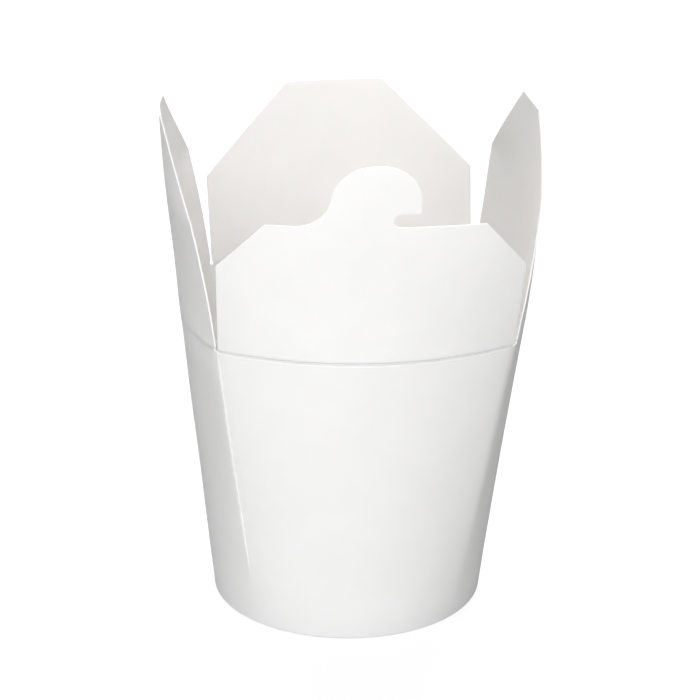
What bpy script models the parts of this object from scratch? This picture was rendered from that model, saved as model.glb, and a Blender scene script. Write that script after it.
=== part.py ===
"""Noodle takeaway box in plain white paperboard, empty and open.

The wall is one blank wrapped into a cup: round at the bottom, a square with bowed sides at the crease.
Four lid flaps stand on the crease, one per side, and the front one carries a hook tongue.
The box stands on z = 0 and the flap with the hook faces -Y. The origin is under the middle of the whole
object, flaps included, so the axis of the round base stands a little to one side of it.
"""

import math

import bmesh
import bpy
from mathutils import Matrix, Vector

MM = 0.001

# Board and running gaps
BOARD = 0.45 * MM  # thickness of the coated board
GAP = 0.3 * MM  # clearance between two pieces that meet
SLIT = 0.5 * MM  # how far each flap's side edge stands back from the corner of the crease

# Where the axis of the base stands, since the flaps lean out unequally
AXIS = (2.2 * MM, 2.85 * MM, 0.0)

# Body: a circle at the table, a square with bowed sides at the crease
BASE_RADIUS = 42.0 * MM
CREASE_HEIGHT = 93.5 * MM
CREASE_HALF = 42.8 * MM  # half the distance between two neighbouring corners
BOW_FRONT_BACK = 13.9 * MM  # how far the middle of a side stands out past its corners
BOW_SIDES = 9.9 * MM
PANEL_STEPS = 20  # facets round one of the four sides
WALL_STEPS = 5  # facets up the wall

# Bottom: the wall turned in round the skirt of a recessed disc, as on a paper cup
HEM_HEIGHT = 5.0 * MM
FLOOR_HEIGHT = 6.5 * MM
LAYER_PITCH = BOARD + GAP  # from one layer of the hem to the next

# Side seam: the left side laps over the front one at their corner
LAP_SHARE = 0.16  # share of the left side over which the lap rises
LAP_STEPS = 4
LAP_END_WEIGHT = 0.3  # the lap's far end stays inside the board it rises from
LAP_SET_BACK = 0.6 * MM  # distance of the lap from the table and from the crease

# Flaps: half width at the side corners and at the top, with the heights of both above the crease
FRONT_SHAPE = (43.1 * MM, 29.0 * MM, 30.25 * MM, 43.9 * MM)
BACK_SHAPE = (42.9 * MM, 29.2 * MM, 15.45 * MM, 56.5 * MM)
SIDE_SHAPE = (43.6 * MM, 38.2 * MM, 12.8 * MM, 62.7 * MM)
FOOT_CUT = 0.3 * MM  # the corner cut off a flap's foot
SIDE_FOOT_CUT = 2.4 * MM  # larger, so that a folded side flap passes under the front and back ones
FACET_WIDTH = 4.4 * MM  # width and height of the facets that a flap bends in
FACET_HEIGHT = 9.5 * MM

# Hook tongue on the front flap
TONGUE_TOP = 62.9 * MM  # above the crease
LEFT_SHOULDER = (-1.0 * MM, 12.05 * MM)  # centre and radius
RIGHT_SHOULDER = (0.55 * MM, 11.05 * MM)
FILLET_RADIUS = 9.75 * MM  # where the tongue's left side runs out of the flap's top edge
NOTCH_RADIUS = 2.1 * MM
NOTCH_CENTRE = 6.3 * MM  # of the notch's round end
ARC_STEPS = 8  # facets in a quarter turn

WHITE_BOARD = (0.93, 0.93, 0.925, 1.0)
BOARD_ROUGHNESS = 0.55

SIDES = ("front", "right", "back", "left")
BOWS = (BOW_FRONT_BACK, BOW_SIDES, BOW_FRONT_BACK, BOW_SIDES)


class Stance:
    """How a flap stands: its tilt outwards, its sway and the share of the bow left at its tip."""

    def __init__(self, tilt, sway, tip_bow):
        self.tilt = math.radians(tilt)
        self.sway = math.tan(math.radians(sway))
        self.tip_bow = tip_bow


STANCES = {
    "front": Stance(tilt=18.5, sway=0.6, tip_bow=0.40),
    "right": Stance(tilt=9.4, sway=0.0, tip_bow=0.0),
    "back": Stance(tilt=10.0, sway=1.3, tip_bow=0.72),
    "left": Stance(tilt=9.8, sway=0.0, tip_bow=0.40),
}


def clear_scene():
    for obj in list(bpy.data.objects):
        bpy.data.objects.remove(obj, do_unlink=True)


def new_collection(name):
    collection = bpy.data.collections.new(name)
    bpy.context.scene.collection.children.link(collection)
    return collection


def quarter_turn(side):
    """The turn that takes a point drawn on the front onto the named side."""
    return Matrix.Rotation(SIDES.index(side) * math.pi / 2, 4, "Z")


def wall_point(side, across, height):
    """A point of the middle layer, from the base's axis; across is -1 and 1 at the corners."""
    angle = across * math.pi / 4
    bottom = Vector((math.sin(angle), -math.cos(angle), 0.0)) * BASE_RADIUS
    bow = BOWS[SIDES.index(side)] * (1 - across**2)
    crease = Vector((across * CREASE_HALF, -CREASE_HALF - bow, CREASE_HEIGHT))
    return quarter_turn(side) @ bottom.lerp(crease, height / CREASE_HEIGHT)


def ring(height, inset=0.0):
    """One loop of points round the box, moved in towards the axis by the inset."""
    points = []
    for side in SIDES:
        for step in range(PANEL_STEPS):
            point = wall_point(side, 2 * step / PANEL_STEPS - 1, height)
            inwards = Vector((-point.x, -point.y, 0.0)).normalized()
            points.append(point + inwards * inset)
    return points


def loft(bm, rows, closed):
    """Quads between rows of points, with as many points in each row."""
    built = [[bm.verts.new(point) for point in row] for row in rows]
    count = len(rows[0])
    for lower, upper in zip(built, built[1:]):
        for i in range(count if closed else count - 1):
            j = (i + 1) % count
            bm.faces.new((lower[i], lower[j], upper[j], upper[i]))
    return built


def new_material(name):
    material = bpy.data.materials.new(name)
    material.use_nodes = True
    shader = material.node_tree.nodes["Principled BSDF"]
    shader.inputs["Base Color"].default_value = WHITE_BOARD
    shader.inputs["Roughness"].default_value = BOARD_ROUGHNESS
    material.diffuse_color = WHITE_BOARD
    return material


def new_object(name, bm, collection, origin=Vector((0.0, 0.0, 0.0))):
    """A smooth-shaded object with sharp folds; its origin is given from the base's axis."""
    bmesh.ops.translate(bm, verts=bm.verts, vec=-origin)
    mesh = bpy.data.meshes.new(name)
    bm.to_mesh(mesh)
    bm.free()
    mesh.polygons.foreach_set("use_smooth", [True] * len(mesh.polygons))
    mesh.set_sharp_from_angle(angle=math.radians(35))
    obj = bpy.data.objects.new(name, mesh)
    obj.location = origin + Vector(AXIS)
    collection.objects.link(obj)
    obj.data.materials.append(new_material(name + "_board"))
    return obj


def thicken(obj, thickness=BOARD, offset=0.0):
    solidify = obj.modifiers.new("board", "SOLIDIFY")
    solidify.thickness = thickness
    solidify.offset = offset
    solidify.use_even_offset = True
    return solidify


def build_lap(helpers):
    """The raised end of the left side, from the corner back to where it has sunk into the board."""
    rise_height = CREASE_HEIGHT - 2 * LAP_SET_BACK
    heights = [LAP_SET_BACK + rise_height * i / WALL_STEPS for i in range(WALL_STEPS + 1)]
    columns = [1 - 2 * LAP_SHARE * (1 - i / LAP_STEPS) for i in range(LAP_STEPS + 1)]
    rows = [[wall_point("left", across, height) for across in columns] for height in heights]
    bm = bmesh.new()
    loft(bm, rows, closed=False)
    lap = new_object("lap_helper", bm, helpers)
    rise = lap.vertex_groups.new(name="rise")
    for vertex in lap.data.vertices:
        column = vertex.index % len(columns)
        rise.add([vertex.index], LAP_END_WEIGHT + (1 - LAP_END_WEIGHT) * column / LAP_STEPS, "REPLACE")
    solidify = thicken(lap, thickness=1.5 * BOARD, offset=1.0)
    solidify.vertex_group = "rise"
    lap.hide_render = True
    lap.display_type = "WIRE"
    return lap


def build_wall(collection, lap):
    bottom = BOARD / 2
    top = CREASE_HEIGHT - GAP / 2
    rows = [ring(HEM_HEIGHT, inset=2 * LAYER_PITCH), ring(bottom, inset=2 * LAYER_PITCH)]
    rows += [ring(bottom + (top - bottom) * i / WALL_STEPS) for i in range(WALL_STEPS + 1)]
    bm = bmesh.new()
    loft(bm, rows, closed=True)
    wall = new_object("wall", bm, collection)
    thicken(wall)
    join = wall.modifiers.new("lap", "BOOLEAN")
    join.operation = "UNION"
    join.solver = "EXACT"
    join.object = lap
    return wall


def build_base(collection):
    """The disc with its skirt down between the two layers of the hem."""
    bm = bmesh.new()
    skirt = [ring(height, inset=LAYER_PITCH) for height in (BOARD + GAP, FLOOR_HEIGHT)]
    built = loft(bm, skirt, closed=True)
    bm.faces.new(built[-1])
    base = new_object("base", bm, collection)
    thicken(base)
    return base


def arc(centre, radius, start, end):
    """Points on an arc, both ends included; angles in degrees, anticlockwise from the right."""
    steps = max(2, round(ARC_STEPS * abs(end - start) / 90))
    angles = [math.radians(start + (end - start) * i / steps) for i in range(steps + 1)]
    return [(centre[0] + radius * math.cos(a), centre[1] + radius * math.sin(a)) for a in angles]


def tongue_outline(root):
    """The hook from its right to its left; root is the height of the flap's top edge."""
    notch = (NOTCH_CENTRE, root + NOTCH_RADIUS)
    right_centre, right_radius = RIGHT_SHOULDER
    left_centre, left_radius = LEFT_SHOULDER
    tip_right = (right_centre + right_radius, root + 2 * NOTCH_RADIUS)
    right = (right_centre, TONGUE_TOP - right_radius)
    left = (left_centre, TONGUE_TOP - left_radius)
    # The fillet touches both the top edge and the left shoulder
    reach = FILLET_RADIUS + left_radius
    rise = root + FILLET_RADIUS - left[1]
    fillet = (left[0] - math.sqrt(reach**2 - rise**2), root + FILLET_RADIUS)
    touch = math.degrees(math.atan2(rise, left[0] - fillet[0]))
    return (
        arc(notch, NOTCH_RADIUS, 270, 90)
        + [tip_right]
        + arc(right, right_radius, 0, 90)
        + arc(left, left_radius, 90, 180 - touch)
        + arc(fillet, FILLET_RADIUS, -touch, -90)[1:]
    )


def flap_outline(shape, foot_cut, tongue):
    """The flat flap seen from outside, anticlockwise; its lower edge is the crease."""
    side_half, side_height, top_half, top_height = shape
    foot = CREASE_HALF - SLIT
    outline = [(-foot + foot_cut, GAP / 2), (foot - foot_cut, GAP / 2), (foot, GAP / 2 + foot_cut)]
    outline += [(side_half, side_height), (top_half, top_height)]
    if tongue:
        outline += tongue_outline(top_height)
    return outline + [(-top_half, top_height), (-side_half, side_height), (-foot, GAP / 2 + foot_cut)]


def cut_across(bm, axis, spacing, lowest, highest):
    """Splits the flat sheet's faces on evenly spaced lines, so that it can bend there."""
    normal = Vector((1.0, 0.0, 0.0)) if axis == 0 else Vector((0.0, 1.0, 0.0))
    for i in range(math.ceil(lowest / spacing), math.floor(highest / spacing) + 1):
        geometry = bm.verts[:] + bm.edges[:] + bm.faces[:]
        bmesh.ops.bisect_plane(bm, geom=geometry, plane_co=normal * (i * spacing), plane_no=normal)


def bend(point, side, shape, tongue):
    """Where a point of the flat flap comes to stand on the box."""
    stance = STANCES[side]
    across, height = point.x, point.y
    swayed = min(1.0, height / shape[1])
    lifted = height - across * stance.sway * swayed
    shifted = across + height * stance.sway
    tip = TONGUE_TOP if tongue else shape[3]
    bow = BOWS[SIDES.index(side)] * (1 - (1 - stance.tip_bow) * lifted / tip)
    out = CREASE_HALF + bow * (1 - (shifted / CREASE_HALF) ** 2) + lifted * math.sin(stance.tilt)
    return quarter_turn(side) @ Vector((shifted, -out, CREASE_HEIGHT + lifted * math.cos(stance.tilt)))


def build_flap(collection, side, shape, foot_cut, tongue=False):
    outline = flap_outline(shape, foot_cut, tongue)
    bm = bmesh.new()
    bm.faces.new([bm.verts.new((across, height, 0.0)) for across, height in outline])
    cut_across(bm, 0, FACET_WIDTH, -shape[0], shape[0])
    cut_across(bm, 1, FACET_HEIGHT, 0.0, TONGUE_TOP)
    for vertex in bm.verts:
        vertex.co = bend(vertex.co, side, shape, tongue)
    hinge = quarter_turn(side) @ Vector((0.0, -CREASE_HALF, CREASE_HEIGHT))
    flap = new_object("flap_" + side, bm, collection, origin=hinge)
    thicken(flap)
    return flap


def main():
    clear_scene()
    collection = new_collection("noodle_box")
    helpers = new_collection("noodle_box_helpers")
    helpers.hide_render = True
    build_wall(collection, build_lap(helpers))
    build_base(collection)
    build_flap(collection, "front", FRONT_SHAPE, FOOT_CUT, tongue=True)
    build_flap(collection, "back", BACK_SHAPE, FOOT_CUT)
    build_flap(collection, "left", SIDE_SHAPE, SIDE_FOOT_CUT)
    build_flap(collection, "right", SIDE_SHAPE, SIDE_FOOT_CUT)


main()
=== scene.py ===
"""White paperboard noodle box, empty and open: the visual model, floor, lights and camera.

It follows the small unevenness of the photographed box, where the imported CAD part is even, and stays
inside the CAD part's box.
"""

import math

import bmesh
import bpy
import numpy as np
from mathutils import Matrix, Vector, noise


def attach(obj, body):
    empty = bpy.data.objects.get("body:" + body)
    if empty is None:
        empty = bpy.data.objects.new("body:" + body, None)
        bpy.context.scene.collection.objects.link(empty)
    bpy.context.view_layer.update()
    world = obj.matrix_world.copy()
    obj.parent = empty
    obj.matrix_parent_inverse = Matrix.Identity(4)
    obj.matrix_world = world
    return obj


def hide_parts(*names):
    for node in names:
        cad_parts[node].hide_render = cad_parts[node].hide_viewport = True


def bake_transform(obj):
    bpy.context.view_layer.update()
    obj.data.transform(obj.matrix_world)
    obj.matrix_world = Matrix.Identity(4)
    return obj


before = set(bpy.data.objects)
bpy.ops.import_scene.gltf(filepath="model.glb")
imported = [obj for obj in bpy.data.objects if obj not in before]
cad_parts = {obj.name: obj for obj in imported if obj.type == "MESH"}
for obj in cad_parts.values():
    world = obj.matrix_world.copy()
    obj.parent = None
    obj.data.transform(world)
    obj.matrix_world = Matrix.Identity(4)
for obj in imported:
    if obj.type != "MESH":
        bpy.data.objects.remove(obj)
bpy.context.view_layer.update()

MM = 0.001  # every size below is in millimetres, as in the CAD part

# Board
BOARD = 0.45
HALF = BOARD / 2
LAYER_PITCH = 0.75  # from one layer of the hem to the next

# Body, drawn round the axis of the base
AXIS = (2.4, 2.75)
SIDES = ("front", "right", "back", "left")
BASE_RADIUS = 42.0
CREASE_HEIGHT = 93.5
CREASE_HALF = 42.8  # half the distance between two neighbouring corners
BOWS = np.array([13.9, 8.4, 13.9, 10.05])  # the right side is pressed flatter than the left
BASE_SHIFT = np.array([-1.55, 0.19])  # the mouth doesn't stand quite over the base
CORNER_REACH = 0.09  # share of a side over which a folded corner is eased
CORNER_SPREAD = 0.03  # share of a side, each way, over which an eased point is a mean
PANEL_COLUMNS = 56
WALL_ROWS = 52
WALL_ROWS_END = 3.2  # below the crease, where the closer rows that draw the ridge take over
WALL_RIPPLE = (26.0, 0.16)  # size and height of the board's unevenness
CALM_FOOT = (4.0, 12.0)  # height at which the ripple begins, and over which it grows
CALM_TOP = 8.0  # below the crease, over which it dies away

# Hem: the wall turned in at its foot
HEM_HEIGHT = 5.0
HEM_RADIUS = 0.75  # of the middle layer where the wall turns in
HEM_SQUARE = 0.6  # 1 would be round; the hem is pressed squarer
HEM_CLEARANCE = 0.3  # between the turn and the lowest row of the wall
TURN_STEPS = 22  # facets round the outside of the turn
TURN_STEPS_INSIDE = 8

# Base: a disc with a skirt that the hem holds
FLOOR_HEIGHT = 6.5
SKIRT_FOOT = 1.0
SKIRT_FOLD = 0.9  # radius where the skirt turns into the disc
BASE_COLUMNS = 40  # in a quarter turn
DISC_SAG = 0.35
RING_DEPTH = 0.28  # of the ring pressed into the disc
RING_PLACE = 0.915  # share of the disc's radius
RING_WIDTH = 0.014

# Crease: a strip of board between wall and flap, with the scored groove and the ridge below it
STRIP_REACH = 0.35  # above and below the crease
STRIP_ROWS = 19
GROOVE_SHADE_ROWS = 12  # of the strip's rows, those given a darker board as painted shade in the groove
GROOVE_DEPTH = 0.22
GROOVE_WIDTH = 0.2  # share of the strip's height
GROOVE_INSIDE = 0.7  # share of the depth that also shows inside
RIDGE_HEIGHT = 0.05
RIDGE_AT = CREASE_HEIGHT - 0.75
RIDGE_WIDTH = 0.25
RIDGE_ROWS = (2.4, 1.9, 1.5, 1.3, 1.15, 1.0, 0.9, 0.8, 0.7, 0.6, 0.5, 0.42)  # below the crease
CREASE_MARKS = np.array([1.0, 0.05, 0.6, 0.0])  # the side flaps run on from the wall with hardly a mark
MARK_BLEND = 0.03  # share of a side over which one side's mark turns into the next one's

# Seam: the left side laps over a tab of the front one
SEAM_AT = 3.999999  # in sides round the box, just short of the front left corner
TAB_REACH = 0.152  # share of the left side that the tab runs in under
LAP_RUN = 0.45  # share of the left side over which it comes down from the lap to its own level
LAP_TUCK = 8.0  # below the crease, over which the lap goes flat
LAP_FADE = (17.0, 29.0)  # heights between which the pressed seam opens into a step
LAP_PRESSED = 0.04  # share of the step that is left where the seam is pressed flat

# Flaps: half width and height of the side corners, half width and height of the top. These and the
# stances below come from a fit to the photographed outline, rounded and in part changed
SHAPES = {
    "front": (43.1, 29.0, 30.25, 43.9),
    "right": (43.6, 38.5, 12.8, 62.55),
    "back": (42.9, 29.2, 15.45, 56.5),
    "left": (43.6, 38.0, 12.8, 62.67),
}
FOOT_CUTS = {"front": 0.3, "right": 1.0, "back": 0.3, "left": 0.8}  # the corner cut off a foot
SLITS = {"front": 0.45, "right": 0.45, "back": 0.4, "left": 0.3}  # from a corner of the crease
TILTS = {"front": 18.5, "right": 9.0, "back": 10.0, "left": 9.9}  # degrees outwards
SWAYS = {"front": 0.8, "right": 0.0, "back": 1.4, "left": 0.35}  # degrees sideways
TIP_BOWS = {"front": 0.40, "right": 0.0, "back": 0.72, "left": 0.40}  # share of the bow left at the tip
BOW_FADES = {"front": 1.0, "right": 1.2, "back": 1.0, "left": 1.2}  # above 1 the bow lasts longer
WAVES = {"front": 0.0, "right": 0.5, "back": 0.0, "left": -0.3}  # outwards low down, inwards higher up
CORNER_ROUND = 0.5
TOP_RUN = 5.0  # the stretch of top edge beside a corner, from which its rounding is worked out
FLAP_GRID = 1.5
FLAP_RIPPLE = (24.0, 0.22)
RIPPLE_INWARDS = 0.06  # the ripple's middle level lies this far in
RIPPLE_GROWTH = 10.0  # height over which it grows from the crease
LEVEL_REACH = 3.0  # height over which the faces turn from upright, as the strip has them, to the tilt
RIM_BEVEL = 0.07
RIM_BEVEL_START = 0.05  # above the strip, so that the joined edge stays square

# Side flaps: between the side corners and the top, the slanted edges pull the board straight
RIMS = {"right": (None, 0.0), "left": (3.1, 3.9)}  # bow left at the top's two ends; None pulls nothing
RIM_START = 5.0  # below the side corners
RIM_RUN = 9.0

# Hook tongue
TONGUE_TOP = 62.9
LEFT_SHOULDER = (-1.0, 12.05)  # centre and radius
RIGHT_SHOULDER = (0.55, 11.05)
FILLET_RADIUS = 9.75
NOTCH_RADIUS = 2.1
NOTCH_CENTRE = 6.3
BARB_ROUND = 0.7  # at the corners of the hook, beside the notch
CURL_START = 36.0  # height at which the flap starts to curl in
CURL_REACH = 2.2  # how far in the tip has come
CURL_DROP = 0.36  # how much it comes down, as a share of that

# Mesh
WELD = 1e-6  # in metres
SLIVER = 1e-7  # in metres
SHARP_ANGLE = 32  # degrees
ARC_STEPS = 24  # in a quarter turn
ROUND_STEPS = 5  # in a rounded corner
ROUND_SHARE = 0.4  # of a line beside a corner, the most that its rounding may take
DIFFERENCE = 0.01  # step for slopes on a flap
ROUND_DIFFERENCE = 1e-4  # step for slopes round the wall, in sides


def smooth(x):
    x = np.clip(x, 0.0, 1.0)
    return x * x * (3 - 2 * x)


def turn(side, x, y):
    """Takes points drawn on the front onto a side."""
    cos = np.array([1.0, 0.0, -1.0, 0.0])[side]
    sin = np.array([0.0, 1.0, 0.0, -1.0])[side]
    return x * cos - y * sin, x * sin + y * cos


def unit(vectors):
    return vectors / np.linalg.norm(vectors, axis=-1, keepdims=True)


def bell(x, centre, width):
    return math.exp(-(((x - centre) / width) ** 2))


# ---------------------------------------------------------------- meshes


OUTER, INNER, EDGE, GROOVE_SHADE, RIDGE_HIGHLIGHT, SEAM = range(6)  # material slots; the groove's carries painted shade, the ridge's a painted highlight


def new_object(name, points, faces, slots, materials):
    """A mesh object from points in millimetres, measured from the base's axis."""
    mesh = bpy.data.meshes.new(name)
    shifted = (np.asarray(points) + np.array([AXIS[0], AXIS[1], 0.0])) * MM
    mesh.from_pydata(shifted.tolist(), [], [list(map(int, f)) for f in faces])
    mesh.polygons.foreach_set("material_index", np.asarray(slots, np.int32))
    bm = bmesh.new()
    bm.from_mesh(mesh)
    bmesh.ops.remove_doubles(bm, verts=bm.verts, dist=WELD)
    bmesh.ops.dissolve_degenerate(bm, edges=bm.edges, dist=SLIVER)
    bm.to_mesh(mesh)
    bm.free()
    mesh.polygons.foreach_set("use_smooth", [True] * len(mesh.polygons))
    mesh.set_sharp_from_angle(angle=math.radians(SHARP_ANGLE))
    for material in materials:
        mesh.materials.append(material)
    obj = bpy.data.objects.new(name, mesh)
    bpy.context.scene.collection.objects.link(obj)
    return obj


def grid_faces(rows, columns, rows_closed, columns_closed):
    """Quads of a grid of points, as (row, column, quad)."""
    for i in range(rows if rows_closed else rows - 1):
        for j in range(columns if columns_closed else columns - 1):
            k, m = (i + 1) % rows, (j + 1) % columns
            yield i, j, (i * columns + j, i * columns + m, k * columns + m, k * columns + j)


def ripple(points, size, height):
    """A gentle unevenness of the board, the same for both faces."""
    values = [noise.noise(Vector(p) / size) for p in points.reshape(-1, 3)]
    return np.array(values).reshape(points.shape[:-1]) * height


# ---------------------------------------------------------------- wall


def plain_ring(u, z):
    """The board's middle layer; u counts sides round the box from the front left corner."""
    side = np.floor(u).astype(int) % 4
    across = 2 * (u - np.floor(u)) - 1
    angle = across * math.pi / 4
    share = z / CREASE_HEIGHT
    x = np.sin(angle) * BASE_RADIUS * (1 - share) + across * CREASE_HALF * share
    crease_y = -CREASE_HALF - BOWS[side] * (1 - across**2)
    y = -np.cos(angle) * BASE_RADIUS * (1 - share) + crease_y * share
    return np.stack(turn(side, x, y), -1) + BASE_SHIFT * (1 - np.expand_dims(share, -1))


def eased_ring(u, z):
    """The same with the folded corners eased."""
    ease = smooth(1 - np.abs(u - np.round(u)) / CORNER_REACH)[..., None]
    steps = np.linspace(-1, 1, 9)
    weights = 1.1 - np.abs(steps)
    mean = sum(w * plain_ring(u + s * CORNER_SPREAD, z) for w, s in zip(weights, steps))
    return plain_ring(u, z) * (1 - ease) + mean / weights.sum() * ease


def wall_layer(u, z, off):
    """A point of the wall, moved out from the middle layer."""
    tangent = unit(eased_ring(u + ROUND_DIFFERENCE, z) - eased_ring(u - ROUND_DIFFERENCE, z))
    out = np.stack([tangent[..., 1], -tangent[..., 0]], -1)
    flat = eased_ring(u, z) + out * np.expand_dims(off, -1)
    return np.concatenate([flat, np.broadcast_to(np.asarray(z, float), u.shape)[..., None]], -1)


def wall_stations():
    """The wall's section: down the outside, round the hem, then up the inside.

    Each station is (height, offset, share of the lap, inside or not, material up to the next one).
    """
    turn_radius, inner_radius = HEM_RADIUS + HALF, HEM_RADIUS - HALF
    heights = np.concatenate([
        np.linspace(2 * HEM_RADIUS + HEM_CLEARANCE, CREASE_HEIGHT - WALL_ROWS_END, WALL_ROWS),
        CREASE_HEIGHT - np.array(RIDGE_ROWS),
        [CREASE_HEIGHT - STRIP_REACH],
    ])
    stations = [(z, HALF, 1.0, False, OUTER) for z in heights[::-1]]
    for angle in np.radians(np.linspace(0, 180, TURN_STEPS + 1)):
        across = math.copysign(abs(math.cos(angle)) ** HEM_SQUARE, math.cos(angle))
        z = turn_radius * (1 - math.sin(angle) ** HEM_SQUARE)
        stations.append((z, turn_radius * across - HEM_RADIUS, 0.0, False, OUTER))
    for z in np.linspace(turn_radius, HEM_HEIGHT, 9)[1:-1]:
        stations.append((z, -2 * HEM_RADIUS - HALF, 0.0, False, OUTER))
    stations.append((HEM_HEIGHT, -2 * HEM_RADIUS - HALF, 0.0, False, EDGE))
    for z in np.linspace(HEM_HEIGHT, turn_radius, 5):
        stations.append((z, -2 * HEM_RADIUS + HALF, 0.0, False, INNER))
    for angle in np.radians(np.linspace(180, 0, TURN_STEPS_INSIDE + 1))[1:]:
        z = turn_radius - inner_radius * math.sin(angle)
        stations.append((z, inner_radius * math.cos(angle) - HEM_RADIUS, 0.0, False, INNER))
    stations += [(z, -HALF, 1.0, True, INNER) for z in heights[:-1]]
    stations.append((heights[-1], -HALF, 1.0, True, EDGE))
    return stations


def build_wall(materials):
    tab_end = 4 - TAB_REACH
    even = np.arange(4 * PANEL_COLUMNS) / PANEL_COLUMNS
    u = np.sort(np.concatenate([even, [tab_end, tab_end, SEAM_AT]]))
    tab = u >= tab_end
    tab[np.argmax(tab)] = False  # of the two columns at its end, the first is still off the tab
    lap = BOARD * (1 - smooth((4 - u) / LAP_RUN))
    mark_ends = np.add.outer(np.arange(4), [0.0, 1 - MARK_BLEND]).ravel()
    marks = np.interp(u, mark_ends, np.repeat(CREASE_MARKS, 2))
    stations = wall_stations()

    points = []
    for z, off, lapped, inside, _ in stations:
        opened = smooth((z - LAP_FADE[0]) / (LAP_FADE[1] - LAP_FADE[0]))
        fade = LAP_PRESSED + (1 - LAP_PRESSED) * opened
        fade *= smooth((CREASE_HEIGHT - z) / LAP_TUCK)
        rise = lap * fade * lapped
        if inside:
            rise = np.where(tab, 0.0, rise)
        calm = smooth((z - CALM_FOOT[0]) / CALM_FOOT[1]) * smooth((CREASE_HEIGHT - z) / CALM_TOP)
        level = np.full(u.shape, z)
        swell = ripple(wall_layer(u, level, np.zeros(u.shape)), *WALL_RIPPLE) * calm
        if lapped and not inside:
            rise = rise + marks * RIDGE_HEIGHT * bell(z, RIDGE_AT, RIDGE_WIDTH)
        points.append(wall_layer(u, level, off + rise + swell))
    points = np.array(points)

    rows, columns = points.shape[:2]
    faces, slots = [], []
    for i, j, quad in grid_faces(rows, columns, True, True):
        z, _, _, inside, slot = stations[i]
        middle = (z + stations[(i + 1) % rows][0]) / 2
        if u[j] == tab_end and u[(j + 1) % columns] == tab_end:
            slot = EDGE
        elif j == columns - 1 and z > LAP_FADE[0]:
            slot = SEAM
        # painted highlight: the faces on the ridge of the front and back get a lighter board
        elif marks[j] > 0.5 and not inside and abs(middle - RIDGE_AT) < RIDGE_WIDTH:
            slot = RIDGE_HIGHLIGHT
        faces.append(quad[::-1])
        slots.append(slot)
    wall = new_object("wall_board", points.reshape(-1, 3), faces, slots, materials)
    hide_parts("wall")
    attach(wall, "body")
    return wall


# ---------------------------------------------------------------- base


def base_path():
    """The section up the skirt and in to the middle: (height, offset, share of the radius, slope)."""
    top = FLOOR_HEIGHT - SKIRT_FOLD
    path = [(z, -LAYER_PITCH, 1.0, 0.0) for z in np.linspace(SKIRT_FOOT, top, 6)]
    for angle in np.radians(np.linspace(0, 90, 8))[1:]:
        z = top + SKIRT_FOLD * math.sin(angle)
        path.append((z, SKIRT_FOLD * (math.cos(angle) - 1) - LAYER_PITCH, 1.0, angle))
    across_ring, across_disc = np.linspace(0.99, 0.84, 16), np.linspace(0.8, 0.0, 14)
    for share in np.concatenate([across_ring, across_disc]):
        ring = -RING_DEPTH * bell(share, RING_PLACE, RING_WIDTH)
        sag = -DISC_SAG * (1 - share**2)
        path.append((FLOOR_HEIGHT + ring + sag, -LAYER_PITCH - SKIRT_FOLD, share, math.pi / 2))
    return path


def build_base(materials):
    """The recessed disc: a skirt held in the hem, a rounded fold, a pressed ring and a slight sag."""
    u = np.arange(4 * BASE_COLUMNS) / BASE_COLUMNS
    outer, inner = [], []
    for z, off, share, angle in base_path():
        level = min(z, FLOOR_HEIGHT)
        centre = BASE_SHIFT * (1 - level / CREASE_HEIGHT)
        for layer, side in ((outer, HALF), (inner, -HALF)):
            loop = wall_layer(u, np.full(u.shape, level), off + side * math.cos(angle))
            loop[:, :2] = centre + (loop[:, :2] - centre) * share
            loop[:, 2] = z + side * math.sin(angle)
            layer.append(loop)
    points = np.array(outer + inner[::-1])
    rows, columns = points.shape[:2]
    faces, slots = [], []
    for i, _, quad in grid_faces(rows, columns, True, True):
        faces.append(quad)
        slots.append(EDGE if i == rows - 1 else INNER if i < rows // 2 else OUTER)
    base = new_object("base_board", points.reshape(-1, 3), faces, slots, materials)
    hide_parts("base")
    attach(base, "body")
    return base


# ---------------------------------------------------------------- flaps


def pulled_straight(side, x, shifted, h, bow, curve):
    """The bow of a side flap with its slanted edges straight between side corner and top."""
    side_half, side_height, top_half, top_height = SHAPES[side]
    climb = np.minimum((h - side_height) / (top_height - side_height), 1)
    half = side_half + (top_half - side_half) * climb
    corner = bow * (1 - (side_half / CREASE_HALF) ** 2)
    share = smooth((h - side_height + RIM_START) / RIM_RUN)
    for here, rim in zip((x < 0, x > 0), RIMS[side]):
        if rim is not None:
            edge = corner + (rim - corner) * climb
            straight = bow - (bow - edge) * (shifted / half) ** 2
            curve = np.where(here, curve + (straight - curve) * share, curve)
    return curve


def flap_middle(side, x, h):
    """The middle layer of a flap; x runs along the crease and h up the flat flap."""
    tilt, sway = math.radians(TILTS[side]), math.tan(math.radians(SWAYS[side]))
    swayed = np.minimum(1.0, h / SHAPES[side][1])
    lifted = h - x * sway * swayed
    shifted = x + h * sway
    tip = TONGUE_TOP if side == "front" else SHAPES[side][3]
    fade = (np.maximum(lifted, 0) / tip) ** BOW_FADES[side]
    bow = BOWS[SIDES.index(side)] * (1 - (1 - TIP_BOWS[side]) * fade)
    curve = bow * (1 - (shifted / CREASE_HALF) ** 2)
    if side in RIMS:
        curve = pulled_straight(side, x, shifted, h, bow, curve)
    out = CREASE_HALF + curve + lifted * math.sin(tilt)
    out = out + WAVES[side] * np.sin(2 * math.pi * np.clip(lifted / tip, 0, 1))
    z = CREASE_HEIGHT + lifted * math.cos(tilt)
    if side == "front":
        curl = CURL_REACH * (np.maximum(0.0, h - CURL_START) / (TONGUE_TOP - CURL_START)) ** 2
        out = out - curl
        z = z - curl * CURL_DROP
    return np.stack([*turn(SIDES.index(side), shifted, -out), z], -1)


def crease_normal(side, x):
    """The level direction square to the crease, as x and y."""
    index = SIDES.index(side)
    slope = 2 * BOWS[index] * x / CREASE_HALF**2
    return unit(np.stack(turn(index, slope, np.full(x.shape, -1.0)), -1))


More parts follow.
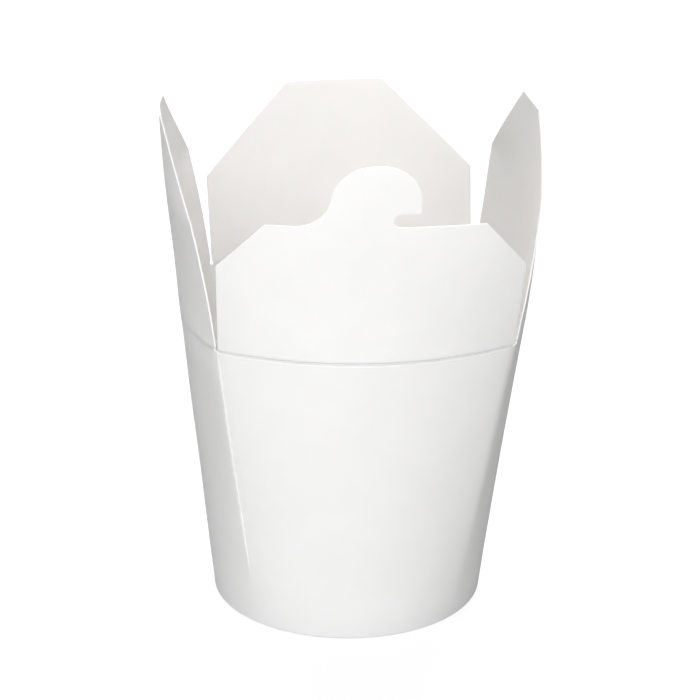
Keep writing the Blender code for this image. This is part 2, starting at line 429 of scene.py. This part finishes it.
def flap_layer(side, x, h, off):
    """A point of a flap, moved out from the middle layer; level at the crease, where the strip is."""
    along = flap_middle(side, x + DIFFERENCE, h) - flap_middle(side, x - DIFFERENCE, h)
    up = flap_middle(side, x, h + DIFFERENCE) - flap_middle(side, x, h - DIFFERENCE)
    square = unit(np.cross(along, up))
    level = np.concatenate([crease_normal(side, x), np.zeros(x.shape)[..., None]], -1)
    share = smooth((h - STRIP_REACH) / LEVEL_REACH)[..., None]
    out = unit(level * (1 - share) + square * share)
    return flap_middle(side, x, h) + out * np.expand_dims(off, -1)


def arc(centre, radius, start, end):
    steps = max(2, round(ARC_STEPS * abs(end - start) / 90))
    angles = np.radians(np.linspace(start, end, steps + 1))
    return [(centre[0] + radius * math.cos(a), centre[1] + radius * math.sin(a)) for a in angles]


def rounded(corners, radius):
    """The open line with its inner corners rounded."""
    line = [corners[0]]
    for before, corner, after in zip(corners, corners[1:], corners[2:]):
        c = np.array(corner)
        a, b = np.array(before) - c, np.array(after) - c
        a_length, b_length = np.linalg.norm(a), np.linalg.norm(b)
        a, b = a / a_length, b / b_length
        tangent = radius / math.tan(math.acos(np.clip(a @ b, -1, 1)) / 2)
        reach = min(tangent, ROUND_SHARE * a_length, ROUND_SHARE * b_length)
        for t in np.linspace(0, 1, ROUND_STEPS + 1):
            line.append(tuple(c + a * reach * (1 - t) ** 2 + b * reach * t**2))
    return line + [corners[-1]]


def tongue_outline(root):
    """From the notch round the tongue to the fillet on its left, on a flap whose top edge is at root."""
    right_centre, right_radius = RIGHT_SHOULDER
    left_centre, left_radius = LEFT_SHOULDER
    right = (right_centre, TONGUE_TOP - right_radius)
    left = (left_centre, TONGUE_TOP - left_radius)
    rise = root + FILLET_RADIUS - left[1]
    across = math.sqrt((FILLET_RADIUS + left_radius) ** 2 - rise**2)
    fillet = (left[0] - across, root + FILLET_RADIUS)
    touch = math.degrees(math.atan2(rise, across))
    notch_top, barb = root + 2 * NOTCH_RADIUS, right_centre + right_radius
    tip = rounded([(NOTCH_CENTRE, notch_top), (barb, notch_top), (barb, right[1])], BARB_ROUND)
    return (
        arc((NOTCH_CENTRE, root + NOTCH_RADIUS), NOTCH_RADIUS, 270, 90)
        + tip[1:-1]
        + arc(right, right_radius, 0, 90)
        + arc(left, left_radius, 90, 180 - touch)
        + arc(fillet, FILLET_RADIUS, -touch, -90)[1:]
    )


def flap_outline(side):
    side_half, side_height, top_half, top_height = SHAPES[side]
    foot, cut, low = CREASE_HALF - SLITS[side], FOOT_CUTS[side], STRIP_REACH
    right = [(foot - cut, low), (foot, low + cut), (side_half, side_height), (top_half, top_height)]
    left = [(-x, y) for x, y in reversed(right)]
    right = rounded(right + [(top_half - TOP_RUN, top_height)], CORNER_ROUND)[:-1]
    left = rounded([(-top_half + TOP_RUN, top_height)] + left, CORNER_ROUND)[1:]
    return right + (tongue_outline(top_height) if side == "front" else []) + left


def flat_sheet(outline, spacing):
    """The flat outline as a face, cut on a grid so that it can bend."""
    bm = bmesh.new()
    bm.faces.new([bm.verts.new((x, y, 0.0)) for x, y in outline])
    low, high = np.min(outline, axis=0), np.max(outline, axis=0)
    for axis, normal in enumerate((Vector((1.0, 0.0, 0.0)), Vector((0.0, 1.0, 0.0)))):
        for i in range(math.ceil(low[axis] / spacing), math.floor(high[axis] / spacing) + 1):
            geometry = bm.verts[:] + bm.edges[:] + bm.faces[:]
            place = normal * (i * spacing)
            bmesh.ops.bisect_plane(bm, geom=geometry, plane_co=place, plane_no=normal)
    bm.verts.index_update()
    flat = np.array([v.co[:2] for v in bm.verts])
    faces = [[v.index for v in f.verts] for f in bm.faces]
    loops = [e.link_loops[0] for e in bm.edges if e.is_boundary]
    rim = [(loop.vert.index, loop.link_loop_next.vert.index) for loop in loops]
    bm.free()
    return flat, faces, rim


def build_flap(side, materials):
    flat, sheet, rim = flat_sheet(flap_outline(side), FLAP_GRID)
    x, h = flat[:, 0], flat[:, 1]
    middle = flap_layer(side, x, h, np.zeros(x.shape))
    growth = smooth((h - STRIP_REACH) / RIPPLE_GROWTH)
    swell = (ripple(middle, *FLAP_RIPPLE) - RIPPLE_INWARDS) * growth
    outer = flap_layer(side, x, h, swell + HALF)
    inner = flap_layer(side, x, h, swell - HALF)
    count = len(flat)
    faces = sheet + [[count + v for v in reversed(f)] for f in sheet]
    faces += [(a, count + a, count + b, b) for a, b in rim]
    slots = [OUTER] * len(sheet) + [INNER] * len(sheet) + [EDGE] * len(rim)
    points = np.concatenate([outer, inner])
    flap = new_object("flap_" + side + "_board", points, faces, slots, materials)
    soften_rim(flap)
    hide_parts("flap_" + side)
    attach(flap, side + "_flap")
    return flap


def soften_rim(obj):
    """A fine bevel along the cut edges, except at the crease."""
    mesh = obj.data
    foot = (CREASE_HEIGHT + STRIP_REACH + RIM_BEVEL_START) * MM
    weights = np.zeros(len(mesh.edges), np.float32)
    touching = {}
    for polygon in mesh.polygons:
        for key in polygon.edge_keys:
            touching.setdefault(key, set()).add(polygon.material_index == EDGE)
    for edge in mesh.edges:
        low = all(mesh.vertices[v].co.z < foot for v in edge.vertices)
        if len(touching[edge.key]) == 2 and not low:
            weights[edge.index] = 1.0
    mesh.attributes.new("bevel_weight_edge", "FLOAT", "EDGE").data.foreach_set("value", weights)
    bevel = obj.modifiers.new("soft edge", "BEVEL")
    bevel.limit_method = "WEIGHT"
    bevel.width = RIM_BEVEL * MM
    bevel.segments = 2
    bevel.harden_normals = True


# ---------------------------------------------------------------- creases


def crease_rows(side, x, off):
    """One face of the strip, from the wall up to the flap, with the groove pressed into it."""
    index = SIDES.index(side)
    u = index + (x / CREASE_HALF + 1) / 2
    level = np.full(x.shape, CREASE_HEIGHT - STRIP_REACH)
    low = wall_layer(u, level, np.full(x.shape, off))
    high = flap_layer(side, x, np.full(x.shape, STRIP_REACH), np.full(x.shape, off))
    out = crease_normal(side, x)
    depth = GROOVE_DEPTH * CREASE_MARKS[index] * (1.0 if off > 0 else GROOVE_INSIDE)
    rows = []
    for t in np.linspace(0, 1, STRIP_ROWS):
        row = low * (1 - t) + high * t
        row[:, :2] -= out * depth * (bell(t, 0.5, GROOVE_WIDTH) - bell(0.0, 0.5, GROOVE_WIDTH))
        rows.append(row)
    return np.array(rows)


def build_crease(side, materials):
    """The strip of board between the wall and a flap, with its pressed groove."""
    end = CREASE_HALF - SLITS[side] - FOOT_CUTS[side]
    x = np.linspace(-end, end, 2 * PANEL_COLUMNS + 1)
    points = np.concatenate([crease_rows(side, x, HALF), crease_rows(side, x, -HALF)[::-1]])
    total, columns = points.shape[:2]
    groove_shaded = side in ("front", "back")
    faces, slots = [], []
    for i, _, quad in grid_faces(total, columns, True, False):
        slot = OUTER if i < STRIP_ROWS else INNER
        if i in (STRIP_ROWS - 1, total - 1):
            slot = EDGE
        # painted shade: the middle rows of the groove on the front and back get a darker board
        elif groove_shaded and abs(i + 0.5 - (STRIP_ROWS - 1) / 2) < GROOVE_SHADE_ROWS / 2:
            slot = GROOVE_SHADE
        faces.append(quad)
        slots.append(slot)
    for j, flip in ((0, False), (columns - 1, True)):
        for i in range(STRIP_ROWS - 1):
            corners = (i, i + 1, total - 2 - i, total - 1 - i)
            quad = tuple(row * columns + j for row in corners)
            faces.append(quad[::-1] if flip else quad)
            slots.append(EDGE)
    crease = new_object("crease_" + side + "_board", points.reshape(-1, 3), faces, slots, materials)
    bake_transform(crease)
    return crease


# ---------------------------------------------------------------- materials


class Nodes:
    """A short way to write a material's nodes."""

    def __init__(self, name):
        self.material = bpy.data.materials.new(name)
        self.material.use_nodes = True
        self.tree = self.material.node_tree
        self.shader = self.tree.nodes["Principled BSDF"]
        self.position = self.tree.nodes.new("ShaderNodeTexCoord").outputs["Object"]

    def add(self, kind, inputs=None, **settings):
        node = self.tree.nodes.new("ShaderNode" + kind)
        for key, value in settings.items():
            setattr(node, key, value)
        for key, value in (inputs or {}).items():
            if isinstance(value, bpy.types.NodeSocket):
                self.tree.links.new(value, node.inputs[key])
            else:
                node.inputs[key].default_value = value
        return node

    def noise(self, per_mm, detail=3.0, roughness=0.55, stretch=(1.0, 1.0, 1.0)):
        scaled = self.add("Mapping", {"Vector": self.position, "Scale": stretch}).outputs[0]
        look = {"Scale": per_mm / MM, "Detail": detail, "Roughness": roughness}
        return self.add("TexNoise", {"Vector": scaled, **look}).outputs["Fac"]

    def between(self, value, low, high):
        """The value's middle range, spread between two numbers."""
        spread = {"From Min": 0.3, "From Max": 0.7, "To Min": low, "To Max": high}
        return self.add("MapRange", {"Value": value, **spread}).outputs[0]

    def bump(self, value, height, below=None):
        inputs = {"Height": value, "Distance": height * MM, "Strength": 1.0}
        if below is not None:
            inputs["Normal"] = below
        return self.add("Bump", inputs).outputs[0]

    def mottle(self, value, first, second):
        """Base colour that wanders between two colours."""
        mixed = self.add("Mix", data_type="RGBA")
        self.tree.links.new(self.between(value, 0.0, 1.0), mixed.inputs[0])
        mixed.inputs[6].default_value = (*first, 1.0)
        mixed.inputs[7].default_value = (*second, 1.0)
        self.link(mixed.outputs[2], "Base Color")

    def link(self, socket, name):
        self.tree.links.new(socket, self.shader.inputs[name])

    def set(self, **values):
        """Sets the shader's own sockets; an underscore in a name stands for a space."""
        for name, value in values.items():
            self.shader.inputs[name.replace("_", " ")].default_value = value


FIBRE_HEIGHT = 0.006
SURFACE_HEIGHT = 0.0096  # of the slower waves in the coating
EDGE_FIBRE_HEIGHT = 0.03
LIGHT_DEPTH = 0.6  # how far light wanders in the board
LIGHT_SHARE = 0.5  # how much of it comes through
LIGHT_TINT = (1.0, 0.95, 0.9)


def board_material(name, white, shade, roughness, specular):
    """Coated board: mottled white, a fine fibre grain running up the box and a soft sheen."""
    nodes = Nodes(name)
    nodes.mottle(nodes.noise(0.09, detail=4.0), shade, white)
    nodes.link(nodes.between(nodes.noise(0.35), roughness - 0.05, roughness + 0.05), "Roughness")
    surface = nodes.bump(nodes.noise(0.8, detail=2.0), SURFACE_HEIGHT)
    fibre = nodes.noise(2.4, roughness=0.6, stretch=(1.0, 1.0, 0.45))
    nodes.link(nodes.bump(fibre, FIBRE_HEIGHT, surface), "Normal")
    nodes.set(Specular_IOR_Level=specular)
    nodes.set(Subsurface_Weight=LIGHT_SHARE, Subsurface_Radius=LIGHT_TINT)
    nodes.set(Subsurface_Scale=LIGHT_DEPTH * MM)
    return nodes.material


def edge_material(name):
    """The cut edge: uncoated fibre, whiter and rougher than the coated faces."""
    nodes = Nodes(name)
    fibre = nodes.noise(5.0, detail=4.0, roughness=0.7)
    nodes.mottle(fibre, (0.94, 0.935, 0.92), (0.985, 0.98, 0.97))
    nodes.link(nodes.bump(fibre, EDGE_FIBRE_HEIGHT), "Normal")
    nodes.set(Roughness=0.85, Specular_IOR_Level=0.3)
    return nodes.material


def floor_material():
    """A pale floor that glows enough to meet the white background."""
    nodes = Nodes("studio_floor")
    nodes.mottle(nodes.noise(0.004, detail=2.0), (0.245, 0.245, 0.245), (0.255, 0.255, 0.255))
    nodes.set(Roughness=0.9, Specular_IOR_Level=0.1)
    nodes.set(Emission_Color=(1.0, 1.0, 1.0, 1.0), Emission_Strength=0.80)
    return nodes.material


# ---------------------------------------------------------------- stage, lights and camera

FLOOR_SIZE = 6.0  # metres
FLOOR_CELLS = 24
FLOOR_DROP = 0.00002  # metres

# The camera comes from the same fit to the outline, rounded
CAMERA_LENS = 99.49
CAMERA_SENSOR = 36.0
CAMERA_DISTANCE = 597.3
CAMERA_AZIMUTH = 5.05  # degrees, round to the left
CAMERA_ELEVATION = 19.64
CAMERA_ROLL = 0.447
CAMERA_AIM = (-1.005, 77.526)  # across and up, from the base's axis

# All strengths but those of "left" and "top" come from a least-squares fit to the brightness of the
# photograph. They were rounded, and changed by up to an eighth
LIGHTS = (  # name, degrees round from the front, elevation, angular size, strength
    ("front", 0, 5, 40, 0.74),
    ("front_high", 0, 30, 40, 0.90),
    ("left_high", -30, 45, 40, 0.58),
    ("left", -70, -5, 50, 0.10),
    ("low_left", -45, -20, 50, 1.40),
    ("right", 50, 25, 50, 0.36),
    ("low_right", 60, -35, 50, 0.46),
    ("right_side", 85, 10, 40, 0.25),
    ("back", 180, 30, 50, 2.90),
    ("back_high", 180, 60, 60, 1.30),
    ("top", 0, 85, 70, 0.22),
    ("back_left", -135, 10, 50, 0.47),
    ("back_right", 135, 10, 50, 0.65),
)


def build_floor():
    mesh = bpy.data.meshes.new("floor")
    bm = bmesh.new()
    bmesh.ops.create_grid(bm, x_segments=FLOOR_CELLS, y_segments=FLOOR_CELLS, size=FLOOR_SIZE)
    bm.to_mesh(mesh)
    bm.free()
    mesh.materials.append(floor_material())
    floor = bpy.data.objects.new("floor", mesh)
    floor.location = (0.0, 0.0, -FLOOR_DROP)
    bpy.context.scene.collection.objects.link(floor)
    for rays in ("visible_diffuse", "visible_glossy", "visible_shadow"):
        setattr(floor, rays, False)  # the low lights stand in for its bounce


def aim(obj, target):
    direction = Vector(target) - obj.location
    obj.rotation_euler = direction.to_track_quat("-Z", "Y").to_euler()


def build_lights():
    for name, azimuth, elevation, angle, strength in LIGHTS:
        sun = bpy.data.lights.new(name, "SUN")
        sun.energy = strength
        sun.angle = math.radians(angle)
        obj = bpy.data.objects.new(name, sun)
        a, e = math.radians(azimuth), math.radians(elevation)
        obj.location = (math.sin(a) * math.cos(e), -math.cos(a) * math.cos(e), math.sin(e))
        aim(obj, (0.0, 0.0, 0.0))
        bpy.context.scene.collection.objects.link(obj)


def build_world():
    """A white background that only the camera sees."""
    world = bpy.data.worlds.new("studio")
    world.use_nodes = True
    world.node_tree.nodes["Background"].inputs["Color"].default_value = (1.0, 1.0, 1.0, 1.0)
    for rays in ("diffuse", "glossy", "transmission", "scatter"):
        setattr(world.cycles_visibility, rays, False)
    bpy.context.scene.world = world


def build_camera():
    e, roll = math.radians(CAMERA_ELEVATION), math.radians(CAMERA_ROLL)
    target = Vector((CAMERA_AIM[0], 0.0, CAMERA_AIM[1]))
    location = target + Vector((0.0, -math.cos(e), math.sin(e))) * CAMERA_DISTANCE
    forward = Vector((0.0, math.cos(e), -math.sin(e)))
    level = Vector((1.0, 0.0, 0.0))
    up = level.cross(forward)
    right = level * math.cos(roll) + up * math.sin(roll)
    top = up * math.cos(roll) - level * math.sin(roll)
    turned = Matrix.Rotation(-math.radians(CAMERA_AZIMUTH), 3, "Z")
    axes = Matrix([turned @ right, turned @ top, turned @ -forward]).transposed()
    place = (turned @ location + Vector((*AXIS, 0.0))) * MM
    data = bpy.data.cameras.new("camera")
    data.lens = CAMERA_LENS
    data.sensor_width = CAMERA_SENSOR
    data.clip_start, data.clip_end = 0.01, 50.0
    camera = bpy.data.objects.new("camera", data)
    camera.matrix_world = Matrix.Translation(place) @ axes.to_4x4()
    bpy.context.scene.collection.objects.link(camera)
    bpy.context.scene.camera = camera


def main():
    outer = board_material("board_outer", (0.885, 0.885, 0.88), (0.865, 0.865, 0.86), 0.5, 0.4)
    # painted shade: the wall's board is a darker copy of the flaps' board
    wall_shaded = board_material("board_wall_painted_shade", (0.865, 0.865, 0.86), (0.848, 0.848, 0.843), 0.5, 0.4)
    lining = board_material("board_lining", (0.88, 0.87, 0.855), (0.86, 0.85, 0.835), 0.42, 0.4)
    edge = edge_material("board_edge")
    # painted shade: a darker copy of the board for the scored groove
    groove_shade = board_material("board_groove_painted_shade", (0.81, 0.81, 0.805), (0.78, 0.78, 0.775), 0.7, 0.25)
    # painted highlight: a lighter copy of the board for the ridge below the crease
    ridge_highlight = board_material("board_ridge_painted_highlight", (0.97, 0.97, 0.965), (0.94, 0.94, 0.935), 0.6, 0.3)
    materials = (outer, lining, edge, groove_shade, ridge_highlight)
    build_wall((wall_shaded, lining, edge, groove_shade, ridge_highlight, outer))  # the wall's board is darkened as painted shade; its seam keeps the flaps' white
    build_base(materials)
    for side in SIDES:
        build_flap(side, materials)
        build_crease(side, materials)
    build_floor()
    build_lights()
    build_world()
    build_camera()
    bpy.context.scene.view_settings.view_transform = "Standard"


main()
